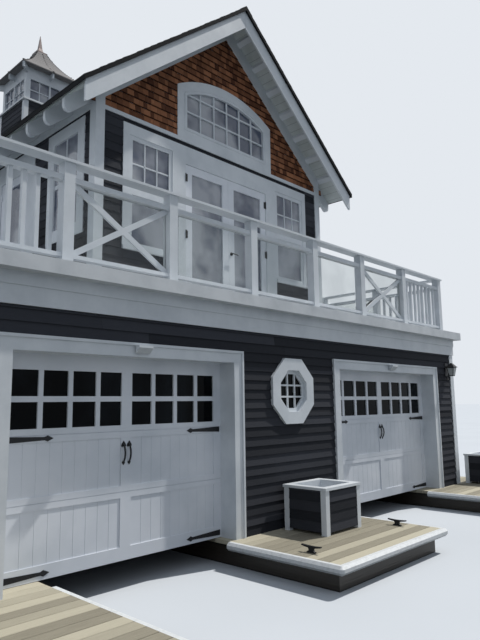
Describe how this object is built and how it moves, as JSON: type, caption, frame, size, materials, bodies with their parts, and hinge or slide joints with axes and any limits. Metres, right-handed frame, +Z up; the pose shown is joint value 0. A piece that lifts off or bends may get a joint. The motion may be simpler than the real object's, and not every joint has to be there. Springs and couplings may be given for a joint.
{
  "type": "two-storey boathouse",
  "caption": "Boathouse on timber cribs: boat doors over the water below, a gabled cabin behind a railed deck above, and a cupola on the ridge.",
  "frame": {"origin": "centre of the bounding box in plan, at the water line where the cribs meet the water", "axes": "+Z up, -Y out of the front wall with the boat doors, +X to the right seen from the water"},
  "size_m": [11.8, 17, 11.04],
  "materials": {
    "black_iron": "black, satin",
    "cedar_shingles": "red-brown cedar shingles",
    "clear_glass": "clear",
    "crib_timber": "dark wet timber",
    "deck_floor_boards": "painted edge, boarded top",
    "dock_boards": "weathered grey softwood",
    "grey_shingles": "pale grey shingles",
    "navy_siding": "very dark navy stain, lapped boards",
    "planter_boards": "white frame with dark siding",
    "roof_shingles": "near-black asphalt shingles",
    "weathered_copper": "weathered brown metal",
    "white_doors": "painted white, satin",
    "white_trim": "painted white, satin"
  },
  "bodies": {
    "root": {"arch_window": "white_trim", "back_railings": "white_trim", "barge_boards": "white_trim", "cabin_back_wall": "cedar_shingles", "cabin_bands": "white_trim", "cabin_front_ends": "navy_siding", "cabin_front_gable": "cedar_shingles", "cabin_glass": "clear_glass", "cabin_side_walls": "navy_siding", "corner_boards": "white_trim", "cribs": "crib_timber", "cupola_base": "navy_siding", "cupola_body": "white_trim", "cupola_finial": "weathered_copper", "cupola_glass": "clear_glass", "cupola_roof": "grey_shingles", "deck_floor": "deck_floor_boards", "dock_bumpers": "white_trim", "dock_cleats": "black_iron", "docks": "dock_boards", "door_ironwork": "black_iron", "door_lights": "white_trim", "entry_frame": "white_trim", "frieze_ends": "white_trim", "frieze_sides": "white_trim", "front_leaves": "white_doors", "front_railing": "white_trim", "front_wall_ends": "navy_siding", "front_wall_heads": "navy_siding", "front_wall_middle": "navy_siding", "left_boat_door": "white_doors", "left_door_casing": "white_trim", "lookouts": "white_trim", "lower_back_wall": "navy_siding", "lower_glass": "clear_glass", "lower_side_walls": "navy_siding", "octagon_window": "white_trim", "planters": "planter_boards", "rafter_tails": "white_trim", "railing_glass": "clear_glass", "rake_friezes": "white_trim", "ridge_cap": "roof_shingles", "right_boat_door": "white_doors", "right_door_casing": "white_trim", "roof_boards": "white_trim", "roof_left": "roof_shingles", "roof_right": "roof_shingles", "side_leaves": "white_doors", "side_railings": "white_trim", "side_windows": "white_trim", "wall_lantern": "black_iron"}
  },
  "joints": []
}
